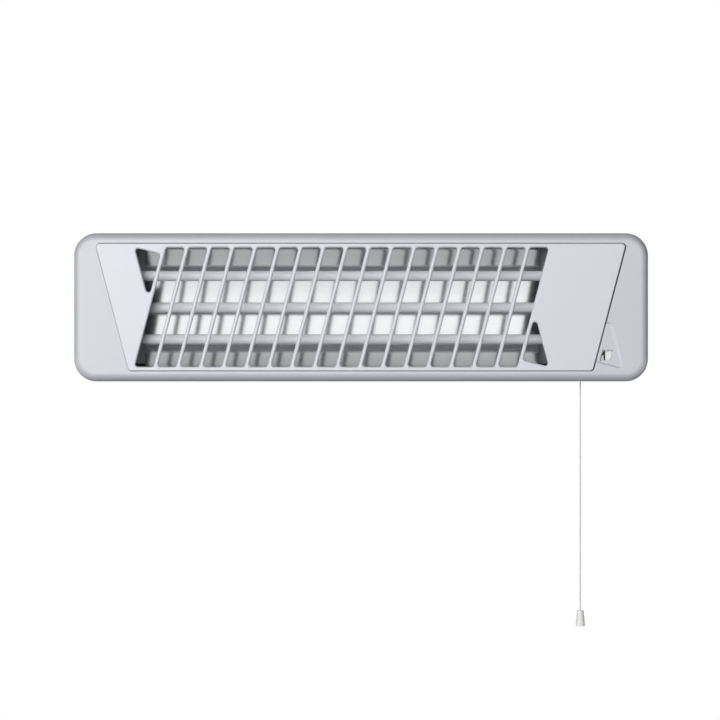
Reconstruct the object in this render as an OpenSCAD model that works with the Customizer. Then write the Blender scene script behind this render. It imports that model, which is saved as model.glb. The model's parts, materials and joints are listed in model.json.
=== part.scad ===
// Wall-mounted quartz infrared heater with a tilting bracket and a pull-cord switch.
// Millimetres. X runs along the heater, +Y points to the wall and +Z is up.
// The origin is the centre of the bracket's screw pattern, on the wall face.

/* [Casing] */
// Width of the front frame
case_w = 600; // [590:5:660]
// Height of the front frame
case_h = 155; // [152:1:165]
// Depth from the front face to the rear wall
case_d = 70; // [68:1:80]
// Corner radius seen from the front
corner_r = 23.5; // [20:0.5:26]
// Rounding along the front edges
edge_r = 9; // [7:0.5:10]
// Depth of the front frame's side walls
frame_d = 36; // [30:1:42]
// Sheet thickness of the casing
sheet_t = 1; // [0.8:0.1:1.3]
// Step in from the front frame to the rear housing
tub_step = 6; // [4:0.5:8]
// Rounding along the rear edges
rear_r = 8; // [6:0.5:9]

/* [Grille] */
// Lean of the bars and of the panel's sides from the vertical, in degrees
lean = 14.8; // [13:0.2:15.4]
// Blank band above and below the grille panel
band_h = 11; // [10:0.5:13]
// Blank band beside the grille panel at half height
band_w = 40.5; // [38:0.5:46]
// Thickness of the grille panel
panel_t = 2; // [1.6:0.1:2.4]
// Width of the seam round the grille panel
seam = 0.8; // [0.5:0.1:1.1]
// Corner radius of the grille panel
panel_r = 4.5; // [3:0.5:6]
// Blank width right of the slotted area at half height
blank_w = 63.9; // [60:0.1:90]
// Blank margin above and below the slots
slot_margin = 4.5; // [4.5:0.5:8]
// Blank margin left of the slots
slot_side = 7.2; // [7:0.2:9]
// Width of each slot along the panel
slot_w = 19.4; // [17:0.2:19.8]
// Distance from slot to slot
slot_pitch = 23.7; // [22:0.1:26]
// Corner radius of the slots
slot_r = 2.6; // [1.5:0.1:3]

/* [Heating] */
// Outer diameter of the quartz tubes
tube_d = 10.7; // [9:0.1:12]
// Wall thickness of the quartz tubes
tube_wall = 1.1; // [0.8:0.1:1.5]
// Distance from tube to tube
tube_pitch = 33.4; // [28:0.2:36]
// Depth of the tube axes behind the front face
tube_depth = 25; // [22:0.5:27]
// Diameter of the heating coils
coil_d = 5; // [4:0.1:6]
// Radius of the reflector's curved sides
reflector_r = 240; // [220:5:280]
// Depth of the trough's deepest line behind the front face
reflector_back = 50; // [46:1:52]
// Width of the flat strip along the reflector's middle
reflector_flat = 18; // [10:1:24]
// Space between the reflector's long edges and the casing
reflector_space = 12.5; // [11.5:0.5:18]
// Sheet thickness of the reflector
reflector_t = 0.8; // [0.5:0.1:1]
// How much shorter than the slotted area the reflector is at each end
reflector_short = 6.2; // [2:0.2:12]

/* [Pull-cord switch] */
// Distance of the cord from the casing's right side
cord_in = 69; // [67:0.5:71]
// Depth of the cord behind the front face
cord_depth = 26; // [25:0.5:28]
// Diameter of the cord
cord_d = 1.5; // [1.2:0.1:1.8]
// Length of cord between the casing and the bell
cord_free = 241.5; // [150:0.5:400]
// Travel of the cord when it is pulled
pull_stroke = 12; // [8:0.5:14]
// Reach of the switch lever from its spindle to the cord
lever_reach = 28; // [26.5:0.5:29.5]
// Height of the spindle above the foot of the indicator recess
spindle_up = 34.6; // [32.6:0.5:35.6]
// Diameter of the spindle
spindle_d = 6; // [5:0.1:7]
// Lower diameter of the bell
bell_d = 9.8; // [8:0.1:12]
// Upper diameter of the bell
bell_top_d = 7.4; // [6.4:0.1:8]
// Height of the bell
bell_h = 16.2; // [14:0.1:20]
// Width of the indicator window
window_w = 11; // [9:0.5:11.5]
// Height of the indicator window
window_h = 11.4; // [9:0.2:12]
// Height of the digits on the indicator disc
digit_h = 9.5; // [8:0.1:9.8]

/* [Wall bracket] */
// Distance from the wall to the tilt axis
pivot_gap = 38; // [38:1:60]
// Distance from the tilt axis to the casing's rear wall
back_gap = 12; // [12:0.5:16]
// Width of the swivel yoke on the casing
yoke_w = 200; // [180:2:240]
// Height of the swivel yoke
yoke_h = 44; // [38:1:50]
// Height of the wall bracket
bracket_h = 60; // [54:1:80]
// Sheet thickness of bracket and yoke
plate_t = 2; // [1.5:0.1:2.5]
// Diameter of the pivot bolts
bolt_d = 6; // [5:0.5:7]
// Distance between the wall screws along the heater
hole_span_x = 160; // [140:2:170]
// Distance between the wall screws up the wall
hole_span_z = 36; // [30:1:40]
// Diameter of the wall screw holes
hole_d = 5.5; // [4.5:0.1:6.5]

/* [Hidden] */
$fn = 48;
arc_steps = 6;

// Clearances and the overrun of every cut
over = 1;
fit = 0.3;
snug = 0.1;
run_fit = 0.08;

// Places that the casing fixes
front_y = -(pivot_gap + back_gap + case_d);
rear_y = front_y + case_d;
half_w = case_w / 2;
half_h = case_h / 2;
cord_x = half_w - cord_in;
tan_l = tan(lean);
along = [sin(lean), cos(lean)];
across = [-sin(lean), cos(lean)];

// Front frame
lip_t = 3.5;
lip_w = 9;
ledge_w = 3.6;
post_d = 9;
post_space = 1;
opening_h = case_h - 2 * band_h + seam;
opening_w = case_w - 2 * band_w + seam;

// Rear housing
tub_set = 1.5;
tub_front = frame_d - tub_set;
tub_w = case_w - 2 * tub_step;
tub_h = case_h - 2 * tub_step;
tub_r = corner_r - tub_step;
tub_d = case_d - tub_front;
post_x = tub_w / 2 - rear_r - post_d / 2 - post_space;
post_z = tub_h / 2 - rear_r - post_d / 2 - post_space;
vent_w = 3;
vent_pitch = 8;
vent_count = 9;
vent_back_h = 40;
vent_back_x = 124;
vent_top_l = 14;
vent_top_x = 60;

// Grille pattern
slot_h = opening_h - seam - 2 * slot_margin;
slot_lean = tan_l * slot_h / 2;
grille_left = (seam - opening_w) / 2 + slot_lean + slot_side;
grille_w = (opening_w - seam) / 2 - blank_w - grille_left;
grille_x = grille_left + grille_w / 2;
tiny = 0.001;
slot_steps = floor((grille_w - 2 * slot_lean - slot_w) / slot_pitch + tiny);
slot_row = slot_steps * slot_pitch + slot_w;
bar_w = slot_pitch - slot_w;
cut_tip = [-slot_row / 2 - bar_w / 2, bar_w / (2 * tan_l)];
cut_leg = (slot_h / 2 - cut_tip[1]) / cos(lean) * cos(2 * lean);

// Indicator recess, window, lens and disc
recess_t = 0.8;
recess_rise = 10.3;
recess_leg = 52;
recess_r = 3.4;
recess_pad = 3;
recess_foot_z = -opening_h / 2 + recess_rise;
recess_foot = [opening_w / 2 + tan_l * recess_foot_z - seam, recess_foot_z];
recess_tip = recess_foot + recess_leg * along;
window_in = 11.2;
window_up = 6.4;
window_r = 0.8;
window_c = recess_foot + [window_in, window_up];
lens_t = 0.8;
lens_rim = 1.6;
digit_in = 2.8;
digit_down = 0.4;
digit_w = 5.2;
digit_s = 1.7;
digit_t = 0.2;
digit_sets = 3;
digit_kinds = 4;
disc_gap = 0.6;
disc_t = 1.2;
disc_rim = 0.8;
disc_hub_d = 12;
disc_hub_l = 4;
disc_d = lip_t + lens_t + disc_gap + digit_t;

// Lever and cord inside the casing
spindle_z = recess_foot_z + spindle_up;
lever_half = pull_stroke / lever_reach / 2 * 180 / PI;
spindle_x = cord_x + lever_reach * (1 + cos(lever_half)) / 2;
lever_w = 8;
lever_t = 4;
lever_end = 4.2;
lever_hub_d = 13;
eye_play = 1.2;
eye_z = spindle_z + lever_reach * sin(lever_half);
stop_d = 4.8;
stop_z = eye_z + (lever_t / 2 + stop_d / 2 + fit) / cos(lever_half);
digit_at = window_c - [digit_in, digit_down];
digit_reach = norm(digit_at - [spindle_x, spindle_z]);
digit_step = 360 / digit_sets / digit_kinds;
disc_r = digit_reach + digit_h / 2 + disc_rim;
cord_y = front_y + cord_depth;

// Switch body behind the lever
switch_w = 44;
switch_h = 40;
switch_gap = 3;
switch_front = cord_depth + lever_w / 2 + switch_gap;
switch_boss_d = 14;
spindle_in = 12;
spindle_tip = 0.6;
pole_w = 8;
pole_h = 5;
pole_l = (case_d - sheet_t - switch_front - 3 * pole_h) / 2;
pole_pitch = 12;

// Cord outlet, pull cord, bell and knot
outlet_drop = 0.8;
bush_d = 7;
bush_rim_d = 10;
bush_rim_t = 1.5;
bush_l = 6;
bush_play = 0.6;
outlet_z = -half_h;
hang_z = outlet_z - outlet_drop;
bell_top_z = outlet_z - cord_free;
bell_step_h = 5;
bell_mid_d = 8.2;
knot_d = 3.8;
knot_space = 0.35;
knot_room = 6;
bell_round = 0.6;

// Tubes, caps and carriers
tube_over = 6.5;
cap_d = 16;
cap_l = 16;
cap_seat = 6;
cap_rim_d = 21;
cap_rim_t = 3;
cap_out = 2;
carrier_t = 1;
carrier_rim = 8.6;
carrier_h = 2 * (tube_pitch + cap_d / 2 + carrier_rim);
carrier_front = 12;
carrier_foot = 14;
clip_d = 22;
clip_t = 1.2;
stud_d = 4;
stud_l = 6.2;
tag_t = 1;
tag_gap = 0.4;
tag_w = 8;
nut_flats = 7;
nut_t = 3.2;
tube_half = grille_w / 2 + tube_over + cap_seat;
cap_start = grille_w / 2 + tube_over;
cap_end = cap_start + cap_l;
carrier_x = cap_start + cap_rim_t + cap_out;

// Reflector and its stays
reflector_w = grille_w - 2 * reflector_short;
reflector_h = case_h - 2 * (sheet_t + reflector_space);
reflector_front = 8;
reflector_side = (reflector_h - reflector_flat) / 2;
trough_axis = reflector_back - reflector_r;
trough_edge = trough_axis + sqrt(pow(reflector_r, 2) - pow(reflector_side, 2));
stay_w = 20;
stay_top = 24;
stay_foot = 12;
stay_t = 1;
stay_span = 70;
stay_gap = 0.2;

// Leads, terminal block and cable gland
lead_d = 2.4;
tag_l = 8;
lead_in = 5;
lead_back = switch_front + lead_in;
lead_step = 6;
lead_lane = 3;
common_up = 11.5;
common_z = common_up - tub_h / 2;
common_back = 8;
common_depth = case_d - common_back;
common_in = 70.5;
common_x = half_w - common_in;
block_w = 30;
block_h = 18;
block_d = 16;
block_in = 41;
block_x = half_w - block_in;
block_up = 52;
block_z = spindle_z + block_up;
block_pole = 7;
block_space = 3;
gland_in = 67.5;
gland_x = half_w - gland_in;
gland_down = 19.5;
gland_z = tub_h / 2 - gland_down;
gland_d = 12;
gland_hex = 17;
gland_hex_t = 4;
gland_dome_d = 15;
gland_dome_l = 8;
gland_nut_t = 3;
gland_bore = 7;

// Swivel yoke, bracket and their fasteners
ear_r = 9;
ear_gap = 0.4;
ear_foot_share = 0.74;
bolt_head = 10;
bolt_head_t = 4;
bolt_nut_t = 5;
washer_d = 12;
washer_t = 1;
bolt_end = 1;
yoke_screw_x = 70;
yoke_screw_z = 14;
screw_d = 3.5;
screw_head_d = 7;
screw_head_t = 2;
screw_l = 12;
screw_slot = 1;
screw_slot_t = 0.9;
yoke_screw_l = 5;

// Colours
silver = "#d9dbdf";
steel = "#b8bbc0";
zinc = "#c9ccd0";
milk = "#ececec";
white = "#f4f4f2";
dark = "#3c3e42";
black = "#141414";
brass = "#c9a654";

function unit(v) = v / norm(v);
function half_turn(a, b, c) = acos(unit(a - b) * unit(c - b)) / 2;
function cut_back(a, b, c, r) = r / tan(half_turn(a, b, c));
function round_at(a, b, c, r) =
  b + unit(unit(a - b) + unit(c - b)) * r / sin(half_turn(a, b, c));

// Points round the corner b, between its neighbours a and c
function corner_arc(a, b, c, r) =
  let(m = round_at(a, b, c, r),
    u = b + unit(a - b) * cut_back(a, b, c, r) - m,
    v = b + unit(c - b) * cut_back(a, b, c, r) - m,
    t = acos(unit(u) * unit(v)))
  [for (k = [0:arc_steps])
    m + (u * sin(t - k * t / arc_steps) + v * sin(k * t / arc_steps)) / sin(t)];

// Convex outline whose corners are rounded by r
module round_poly(p, r) {
  n = len(p);
  polygon([for (i = [0:n - 1]) each corner_arc(p[(i + n - 1) % n], p[i], p[(i + 1) % n], r)]);
}

module round_rect(w, h, r) {
  square([w - 2 * r, h], center = true);
  square([w, h - 2 * r], center = true);
  for (x = [-1, 1], y = [-1, 1])
    translate([x * (w / 2 - r), y * (h / 2 - r)]) circle(r);
}

// Section through a side of a soft block: outer face at x = r, rounded by e at its top
module side_shape(r, e, d) {
  square([r - e, d]);
  square([r, d - e]);
  translate([r - e, d - e]) intersection() {
    circle(e);
    square(e);
  }
}

// Block standing on z 0 with round corners r, whose upper edges are rounded by e
module soft_block(w, h, r, e, d) {
  linear_extrude(d) square([w - 2 * r, h - 2 * r], center = true);
  for (x = [0, 1]) mirror([x, 0, 0]) {
    translate([w / 2 - r, h / 2 - r, 0]) rotate([90, 0, 0])
      linear_extrude(h - 2 * r) side_shape(r, e, d);
    for (y = [0, 1]) mirror([0, y, 0])
      translate([w / 2 - r, h / 2 - r, 0]) rotate_extrude(angle = 90) side_shape(r, e, d);
  }
  for (y = [0, 1]) mirror([0, y, 0])
    translate([r - w / 2, h / 2 - r, 0]) rotate([90, 0, 90])
      linear_extrude(w - 2 * r) side_shape(r, e, d);
}

// Outline drawn in X and Z, from depth d0 to depth d1 behind the front face
module slab(d0, d1) {
  translate([0, front_y + d1, 0]) rotate([90, 0, 0]) linear_extrude(d1 - d0) children();
}

// Outline drawn in Y and Z, from x0 over t along X
module plate(x0, t) {
  translate([x0, 0, 0]) rotate([90, 0, 90]) linear_extrude(t) children();
}

// Round bar along Y between two depths
module bar_y(x, z, d0, d1, r) {
  translate([x, front_y + d1, z]) rotate([90, 0, 0]) cylinder(r = r, h = d1 - d0);
}

// Round bar along X
module bar_x(x, y, z, l, r) {
  translate([x, y, z]) rotate([0, 90, 0]) cylinder(r = r, h = l);
}

// Hexagon along X, from x over l
module hex_x(x, y, z, l, flats) {
  translate([x, y, z]) rotate([0, 90, 0])
    cylinder(d = flats / cos(30), h = l, $fn = 6);
}

// Trapezoid of the grille panel, wider at the top
module panel_shape(w, h, r) {
  q = h / 2;
  round_poly([[-w / 2 - tan_l * q, q], [-w / 2 + tan_l * q, -q],
    [w / 2 - tan_l * q, -q], [w / 2 + tan_l * q, q]], r);
}

module opening_shape(grow) {
  panel_shape(opening_w + 2 * grow / cos(lean), opening_h + 2 * grow, panel_r + max(grow, -seam));
}

// Leaning window outline round its own middle
module leaning_shape(w, h, r) {
  q = h / 2;
  round_poly([[-w / 2 - tan_l * q, -q], [w / 2 - tan_l * q, -q],
    [w / 2 + tan_l * q, q], [-w / 2 + tan_l * q, q]], r);
}

// Three-cornered outline with its tip at the origin and its square corner up the lean
module cut_shape(leg, r) {
  round_poly([[0, 0], leg * along, leg / cos(2 * lean) * across], r);
}

module grille_shape() {
  difference() {
    panel_shape(opening_w - 2 * seam, opening_h - 2 * seam, panel_r - seam);
    translate([grille_x, 0]) {
      for (i = [0:slot_steps])
        translate([(i - slot_steps / 2) * slot_pitch, 0])
          leaning_shape(slot_w, slot_h, slot_r);
      for (turn = [0, 180])
        rotate(turn) translate(cut_tip) cut_shape(cut_leg, slot_r);
    }
  }
}

// Pan head screw pointing along -Y from its seat
module screw(l) {
  rotate([90, 0, 0]) {
    difference() {
      translate([0, 0, -screw_head_t]) cylinder(d = screw_head_d, h = screw_head_t);
      for (turn = [0, 90])
        rotate(turn)
          translate([-screw_head_d / 4, -screw_slot / 2, -screw_head_t - over])
            cube([screw_head_d / 2, screw_slot, screw_slot_t + over]);
    }
    cylinder(d = screw_d, h = l);
  }
}

// Round wire through the points p
module wire(p) {
  for (i = [0:len(p) - 2]) {
    v = p[i + 1] - p[i];
    translate(p[i]) rotate([0, acos(v[2] / norm(v)), atan2(v[1], v[0])])
      cylinder(d = lead_d, h = norm(v));
  }
  for (i = [1:1:len(p) - 2]) translate(p[i]) sphere(d = lead_d);
}

// Ear outline in Y and Z: foot at y 0, round end at reach
module ear_shape(foot, reach, bore) {
  difference() {
    union() {
      polygon([[0, -foot], [reach, -ear_r], [reach, ear_r], [0, foot]]);
      translate([reach, 0]) circle(ear_r);
    }
    translate([reach, 0]) circle(d = bore);
  }
}

// Digits of bars, each digit_w wide and digit_h high round its own middle
module digit_bar(x0, x1, z0, z1) {
  translate([x0, z0]) square([x1 - x0, z1 - z0]);
}

module digit_shape(k) {
  w = digit_w / 2;
  h = digit_h / 2;
  s = digit_s;
  if (k == 0) difference() {
    round_rect(digit_w, digit_h, w - tiny);
    round_rect(digit_w - 2 * s, digit_h - 2 * s, w - s - tiny);
  }
  if (k == 1) {
    digit_bar(w - s - digit_down, w - digit_down, -h, h);
    polygon([[w - s, h], [-w / 2, h - 2 * s], [-w / 2, h - 3 * s], [w - s, h - 2 * s]]);
  }
  if (k > 1) {
    for (z = [-h, -s / 2, h - s]) digit_bar(-w, w, z, z + s);
    digit_bar(w - s, w, 0, h);
    if (k == 2) digit_bar(-w, s - w, -h, 0);
    if (k == 3) digit_bar(w - s, w, -h, 0);
  }
}

module wall_bracket() {
  outer = yoke_w / 2 + ear_gap + plate_t;
  color(zinc) {
    difference() {
      translate([-outer, -plate_t, -bracket_h / 2]) cube([2 * outer, plate_t, bracket_h]);
      for (x = [-1, 1], z = [-1, 1])
        translate([x * hole_span_x / 2, over, z * hole_span_z / 2]) rotate([90, 0, 0])
          cylinder(d = hole_d, h = plate_t + 2 * over);
    }
    for (x = [-outer, outer - plate_t])
      plate(x, plate_t) mirror([1, 0])
        ear_shape(bracket_h / 2 * ear_foot_share, pivot_gap, bolt_d + 2 * snug);
  }
}

module pivot_bolts() {
  outer = yoke_w / 2 + ear_gap + plate_t;
  inner = yoke_w / 2 - plate_t - ear_gap - washer_t - bolt_nut_t - bolt_end;
  color(steel) for (side = [0, 1]) mirror([side, 0, 0]) {
    hex_x(outer, -pivot_gap, 0, bolt_head_t, bolt_head);
    bar_x(inner, -pivot_gap, 0, outer - inner, bolt_d / 2);
  }
}

module pivot_washers() {
  inner = yoke_w / 2 - plate_t - ear_gap - washer_t;
  color(steel) for (side = [0, 1]) mirror([side, 0, 0]) difference() {
    bar_x(inner, -pivot_gap, 0, washer_t, washer_d / 2);
    bar_x(inner - over, -pivot_gap, 0, washer_t + 2 * over, bolt_d / 2 + snug);
  }
}

module pivot_nuts() {
  inner = yoke_w / 2 - plate_t - ear_gap - washer_t - bolt_nut_t;
  color(steel) for (side = [0, 1]) mirror([side, 0, 0]) difference() {
    hex_x(inner, -pivot_gap, 0, bolt_nut_t, bolt_head);
    bar_x(inner - over, -pivot_gap, 0, bolt_nut_t + 2 * over, bolt_d / 2 + run_fit / 2);
  }
}

module swivel_yoke() {
  color(zinc) {
    difference() {
      translate([-yoke_w / 2, rear_y, -yoke_h / 2]) cube([yoke_w, plate_t, yoke_h]);
      for (x = [-1, 1], z = [-1, 1])
        bar_y(x * yoke_screw_x, z * yoke_screw_z, case_d - over, case_d + plate_t + over,
          screw_d / 2 + snug);
    }
    for (x = [-yoke_w / 2, yoke_w / 2 - plate_t])
      translate([0, rear_y, 0]) plate(x, plate_t)
        ear_shape(yoke_h / 2, back_gap, bolt_d + 2 * run_fit);
  }
}

module yoke_screws() {
  color(steel) for (x = [-1, 1], z = [-1, 1])
    translate([x * yoke_screw_x, rear_y + plate_t, z * yoke_screw_z]) screw(yoke_screw_l);
}

// Solid of the front frame before its opening is cut
module frame_block(t) {
  translate([0, front_y + frame_d, 0]) rotate([90, 0, 0])
    soft_block(case_w - 2 * t, case_h - 2 * t, corner_r - t, edge_r - t, frame_d - t);
}

module front_frame() {
  color(silver) difference() {
    union() {
      difference() {
        frame_block(0);
        difference() {
          union() {
            frame_block(sheet_t);
            slab(frame_d - over, frame_d + over)
              round_rect(case_w - 2 * sheet_t, case_h - 2 * sheet_t, corner_r - sheet_t);
          }
          slab(0, lip_t) {
            opening_shape(lip_w);
            translate(recess_tip) rotate(180)
              cut_shape(recess_leg + recess_pad, recess_r);
          }
        }
      }
      for (x = [-1, 1], z = [-1, 1])
        bar_y(x * post_x, z * post_z, sheet_t / 2, case_d - sheet_t, post_d / 2);
    }
    slab(-over, panel_t) opening_shape(0);
    slab(0, lip_t + over) opening_shape(-ledge_w);
    slab(-over, recess_t) translate(recess_tip) rotate(180) cut_shape(recess_leg, recess_r);
    slab(0, lip_t + over) translate(window_c) leaning_shape(window_w, window_h, window_r);
    for (x = [-1, 1], z = [-1, 1])
      bar_y(x * post_x, z * post_z, case_d - sheet_t - screw_l, case_d, screw_d / 2 + snug / 2);
    bar_z(cord_x, cord_y, -half_h - over, sheet_t + 2 * over, bush_d / 2 + snug);
  }
}

// Round bar along Z
module bar_z(x, y, z, l, r) {
  translate([x, y, z]) cylinder(r = r, h = l);
}

module grille_panel() {
  color(silver) slab(0, panel_t) grille_shape();
}

module rear_housing() {
  rim_w = case_w - 2 * sheet_t - 2 * fit;
  rim_h = case_h - 2 * sheet_t - 2 * fit;
  color(silver) difference() {
    translate([0, front_y + tub_front, 0]) rotate([-90, 0, 0]) difference() {
      union() {
        linear_extrude(sheet_t) round_rect(rim_w, rim_h, corner_r - sheet_t - fit);
        soft_block(tub_w, tub_h, tub_r, rear_r, tub_d);
      }
      soft_block(tub_w - 2 * sheet_t, tub_h - 2 * sheet_t, tub_r - sheet_t,
        rear_r - sheet_t, tub_d - sheet_t);
      translate([0, 0, -over]) linear_extrude(2 * over)
        round_rect(tub_w - 2 * sheet_t, tub_h - 2 * sheet_t, tub_r - sheet_t);
    }
    for (s = [-1, 1], i = [0:vent_count - 1]) {
      slab(case_d - sheet_t - over, case_d + over)
        translate([s * (vent_back_x + i * vent_pitch), 0])
          round_rect(vent_w, vent_back_h, vent_w / 2 - tiny);
      for (z = [-1, 1])
        translate([s * (vent_top_x + i * vent_pitch) - vent_w / 2,
          front_y + (frame_d + case_d - rear_r - vent_top_l) / 2,
          z * tub_h / 2 - sheet_t - over])
          cube([vent_w, vent_top_l, 2 * (sheet_t + over)]);
    }
    for (x = [-1, 1], z = [-1, 1]) {
      bar_y(x * post_x, z * post_z, case_d - sheet_t - over, case_d + over, screw_d / 2 + snug);
      bar_y(x * yoke_screw_x, z * yoke_screw_z, case_d - sheet_t - over, case_d + over,
        screw_d / 2 + snug / 2);
    }
    bar_y(gland_x, gland_z, case_d - sheet_t - over, case_d + over, gland_d / 2 + snug);
  }
}

module case_screws() {
  color(steel) for (x = [-1, 1], z = [-1, 1])
    translate([x * post_x, rear_y, z * post_z]) screw(screw_l);
}

module indicator_lens() {
  color(white) {
    slab(recess_t + snug, lip_t + lens_t / 2) translate(window_c)
      leaning_shape(window_w - 2 * snug, window_h - 2 * snug, window_r);
    slab(lip_t, lip_t + lens_t) translate(window_c)
      leaning_shape(window_w + 2 * lens_rim, window_h + 2 * lens_rim, window_r);
  }
}

module indicator_disc() {
  color(white) difference() {
    union() {
      bar_y(spindle_x, spindle_z, disc_d, disc_d + disc_t, disc_r);
      bar_y(spindle_x, spindle_z, disc_d, disc_d + disc_hub_l, disc_hub_d / 2);
    }
    bar_y(spindle_x, spindle_z, disc_d - over, disc_d + disc_hub_l + over,
      spindle_d / 2 + snug / 2);
  }
}

module indicator_digits() {
  base = atan2(digit_at[1] - spindle_z, digit_at[0] - spindle_x);
  color(black) slab(disc_d - digit_t, disc_d) translate([spindle_x, spindle_z])
    for (i = [0:digit_sets * digit_kinds - 1])
      rotate(i * digit_step) translate(digit_at - [spindle_x, spindle_z])
        digit_shape((i + 1) % digit_kinds);
}

module switch_spindle() {
  color(steel)
    bar_y(spindle_x, spindle_z, disc_d - spindle_tip, switch_front + spindle_in, spindle_d / 2);
}

module switch_lever() {
  color(dark) translate([spindle_x, cord_y, spindle_z]) rotate([0, lever_half, 0])
    difference() {
      union() {
        translate([-lever_reach - lever_end, -lever_w / 2, -lever_t / 2])
          cube([lever_reach + lever_end, lever_w, lever_t]);
        rotate([90, 0, 0]) cylinder(d = lever_hub_d, h = lever_w, center = true);
      }
      rotate([90, 0, 0]) cylinder(r = spindle_d / 2 + run_fit, h = lever_w + 2 * over, center = true);
      for (s = [-1, 1]) translate([s * eye_play / 2 - lever_reach, 0, 0])
        cylinder(r = cord_d / 2 + fit + eye_play / 2, h = lever_t + 2 * over, center = true);
      translate([-lever_reach, 0, 0])
        cube([eye_play, cord_d + 2 * fit + eye_play, lever_t + 2 * over], center = true);
    }
}

module switch_body() {
  color(dark) difference() {
    union() {
      slab(switch_front, case_d - sheet_t)
        translate([spindle_x, spindle_z]) square([switch_w, switch_h], center = true);
      bar_y(spindle_x, spindle_z, switch_front - switch_gap / 2, switch_front + over,
        switch_boss_d / 2);
    }
    bar_y(spindle_x, spindle_z, switch_front - switch_gap, switch_front + spindle_in + over,
      spindle_d / 2 + run_fit);
  }
}

// Places of the switch poles on the body's upper face
function pole_x(i) = spindle_x + (i - 1) * pole_pitch;
pole_z = spindle_z + switch_h / 2;

module switch_terminals() {
  color(brass) for (i = [0:2]) for (row = [0, 1])
    translate([pole_x(i) - pole_w / 2, front_y + switch_front + pole_h + row * (pole_l + pole_h),
      pole_z]) cube([pole_w, pole_l, pole_h]);
}

// Trough with a flat middle, curved sides and straight flanges along both edges
module reflector() {
  flat = reflector_flat / 2;
  color("#e2e5e8") plate(grille_x - reflector_w / 2, reflector_w)
    translate([front_y, 0]) {
      translate([reflector_back, -flat]) square([reflector_t, reflector_flat]);
      for (side = [0, 1]) mirror([0, side]) {
        intersection() {
          translate([trough_axis, flat]) difference() {
            circle(reflector_r + reflector_t);
            circle(reflector_r);
          }
          translate([trough_edge, flat]) square([reflector_back, reflector_side]);
        }
        translate([reflector_front, flat + reflector_side - reflector_t])
          square([trough_edge + reflector_t - reflector_front, reflector_t]);
      }
    }
}

module reflector_stays() {
  top = reflector_back + reflector_t + stay_gap;
  base = case_d - sheet_t;
  color(zinc) for (s = [-1, 1])
    plate(grille_x + s * stay_span - stay_w / 2, stay_w) translate([front_y, 0]) {
      translate([top, -stay_top / 2]) square([stay_t, stay_top]);
      for (z = [0, 1]) mirror([0, z]) {
        translate([top, stay_top / 2 - stay_t]) square([base - top, stay_t]);
        translate([base - stay_t, stay_top / 2 - stay_t]) square([stay_t, stay_foot]);
      }
    }
}

// Runs children for each end of the tubes: mirrored about the grille's middle
module both_ends() {
  translate([grille_x, 0, 0]) for (side = [0, 1]) mirror([side, 0, 0]) children();
}

tube_y = front_y + tube_depth;
tube_zs = [tube_pitch, 0, -tube_pitch];

module tube_carriers() {
  color(zinc) both_ends() {
    plate(carrier_x, carrier_t) difference() {
      translate([front_y + carrier_front, -carrier_h / 2])
        square([case_d - sheet_t - carrier_front, carrier_h]);
      for (z = tube_zs) translate([tube_y, z]) circle(cap_d / 2 + snug);
    }
    translate([carrier_x, rear_y - sheet_t - carrier_t, -carrier_h / 2])
      cube([carrier_foot, carrier_t, carrier_h]);
  }
}

module quartz_tube(z) {
  color(milk) difference() {
    bar_x(grille_x - tube_half, tube_y, z, 2 * tube_half, tube_d / 2);
    bar_x(grille_x - tube_half - over, tube_y, z, 2 * (tube_half + over), tube_d / 2 - tube_wall);
  }
}

module quartz_tube_top() { quartz_tube(tube_zs[0]); }
module quartz_tube_middle() { quartz_tube(tube_zs[1]); }
module quartz_tube_bottom() { quartz_tube(tube_zs[2]); }

module heating_coils() {
  color(steel) for (z = tube_zs)
    bar_x(grille_x - cap_start - cap_seat, tube_y, z, 2 * (cap_start + cap_seat), coil_d / 2);
}

module ceramic_caps() {
  color(white) both_ends() for (z = tube_zs) difference() {
    union() {
      bar_x(cap_start, tube_y, z, cap_l, cap_d / 2);
      bar_x(carrier_x - cap_rim_t, tube_y, z, cap_rim_t, cap_rim_d / 2);
    }
    bar_x(cap_start - over, tube_y, z, cap_seat + over, tube_d / 2 + snug);
  }
}

module cap_clips() {
  color(steel) both_ends() for (z = tube_zs) difference() {
    bar_x(carrier_x + carrier_t, tube_y, z, clip_t, clip_d / 2);
    bar_x(carrier_x + carrier_t - over, tube_y, z, clip_t + 2 * over, cap_d / 2 + snug);
  }
}

module tube_studs() {
  color(steel) both_ends() for (z = tube_zs) bar_x(cap_end, tube_y, z, stud_l, stud_d / 2);
}

module stud_nuts() {
  color(steel) both_ends() for (z = tube_zs) difference() {
    hex_x(cap_end + tag_gap + tag_t + tag_gap, tube_y, z, nut_t, nut_flats);
    bar_x(cap_end, tube_y, z, stud_l, stud_d / 2 + run_fit / 2);
  }
}

module link_strip() {
  reach = tube_pitch + tag_w / 2;
  color(brass) plate(grille_x - cap_end - tag_gap - tag_t, tag_t) difference() {
    translate([tube_y - tag_w / 2, -reach]) square([tag_w, 2 * reach]);
    for (z = tube_zs) translate([tube_y, z]) circle(d = stud_d + 2 * snug);
  }
}

lead_x = grille_x + cap_end + tag_gap + tag_t / 2;
lead_y = tube_y + tag_l;

module tube_leads() {
  side = spindle_x - switch_w / 2;
  color(black) for (i = [0:2]) {
    z = tube_zs[i];
    y = front_y + lead_back + (2 - i) * lead_lane;
    end_z = spindle_z + switch_h / 2 - (i + 1) * lead_step;
    plate(lead_x - tag_t / 2, tag_t) difference() {
      translate([tube_y - tag_w / 2, z - tag_w / 2]) square([tag_w / 2 + tag_l, tag_w]);
      translate([tube_y, z]) circle(d = stud_d + 2 * snug);
    }
    wire([[lead_x, lead_y, z], [lead_x, y, z], [lead_x, y, end_z], [side, y, end_z]]);
  }
}

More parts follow.
